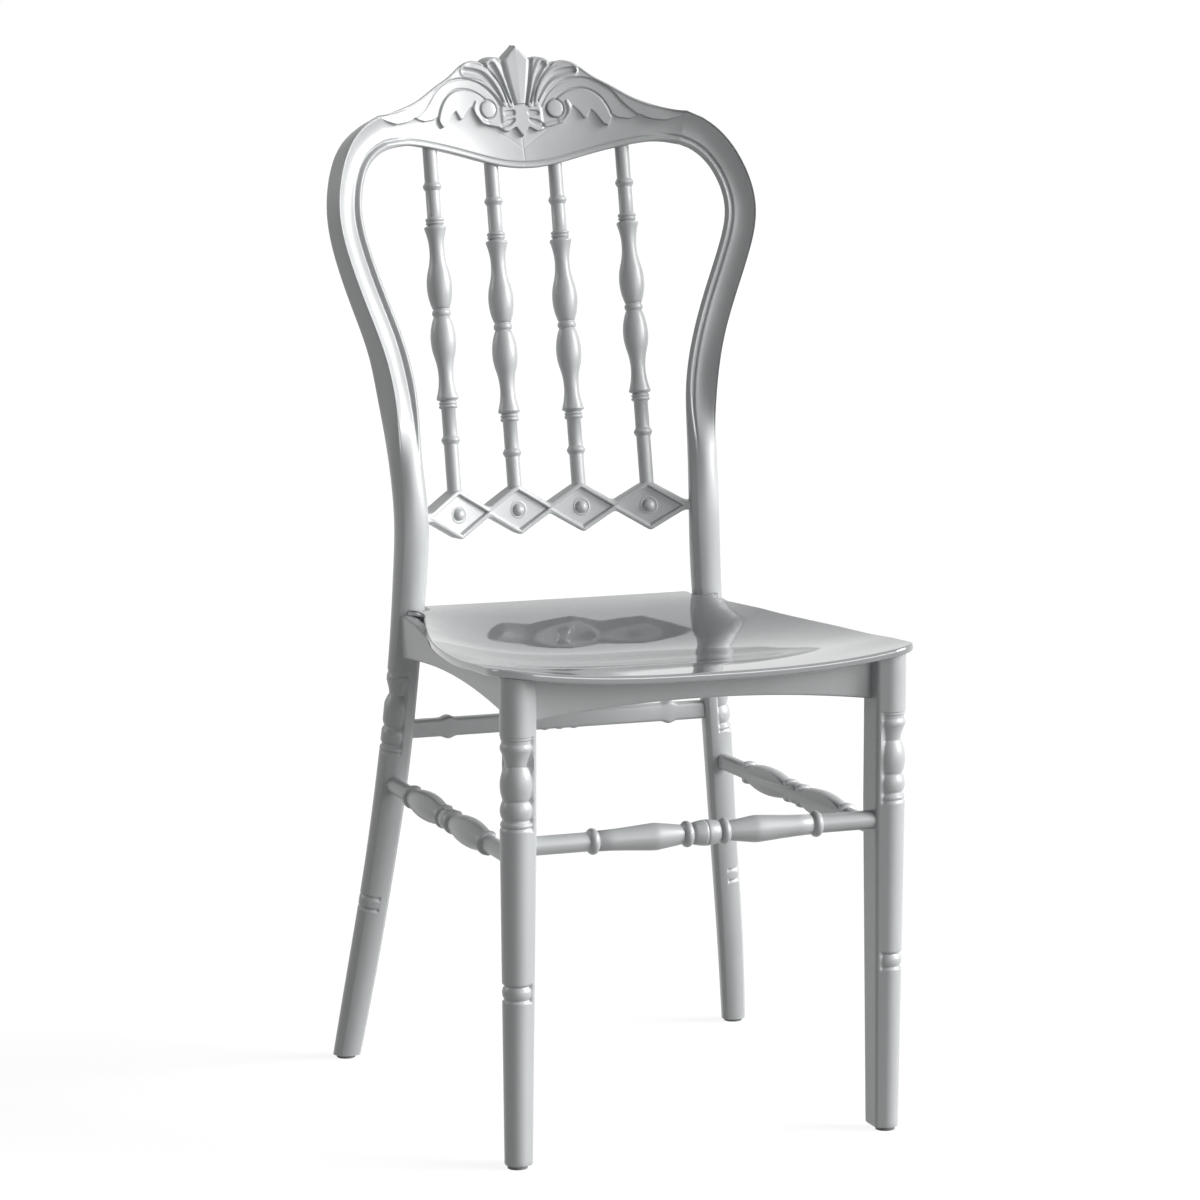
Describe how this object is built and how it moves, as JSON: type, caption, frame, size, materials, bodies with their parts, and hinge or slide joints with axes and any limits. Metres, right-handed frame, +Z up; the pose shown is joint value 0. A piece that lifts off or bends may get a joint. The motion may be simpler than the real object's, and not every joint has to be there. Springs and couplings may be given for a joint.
{
  "type": "side chair",
  "caption": "Banquet side chair with a carved crest, flared hoop back, turned spindles, diamond rail, dished glossy seat, turned front legs and turned stretchers.",
  "frame": {"origin": "on the floor, under the middle of the chair's bounding box", "axes": "+X to the chair's own left as seen from behind it (the viewer's right from the front), -Y the way that the sitter faces, +Z up"},
  "size_m": [0.4102, 0.5146, 0.915],
  "materials": {
    "frame": "satin pearl silver",
    "crest": "satin pearl silver with carved relief",
    "seat": "high gloss pearl silver",
    "bracket": "plain moulded grey",
    "screw": "zinc plated",
    "glide": "matt grey"
  },
  "bodies": {
    "root": {"rear_post_left": "frame", "rear_post_right": "frame", "crest_rail": "crest", "spindle_outer_left": "frame", "spindle_inner_left": "frame", "spindle_inner_right": "frame", "spindle_outer_right": "frame", "lozenge_rail": "frame", "seat_panel": "seat", "front_leg_left": "frame", "front_leg_right": "frame", "front_apron": "frame", "side_apron_left": "frame", "side_apron_right": "frame", "rear_apron": "frame", "front_stretcher": "frame", "side_stretcher_left": "frame", "side_stretcher_right": "frame", "rear_stretcher": "frame", "corner_bracket_front_left": "bracket", "corner_bracket_front_right": "bracket", "corner_bracket_rear_left": "bracket", "corner_bracket_rear_right": "bracket", "bracket_screws": "screw", "seat_screws": "screw", "foot_glides": "glide"}
  },
  "joints": []
}
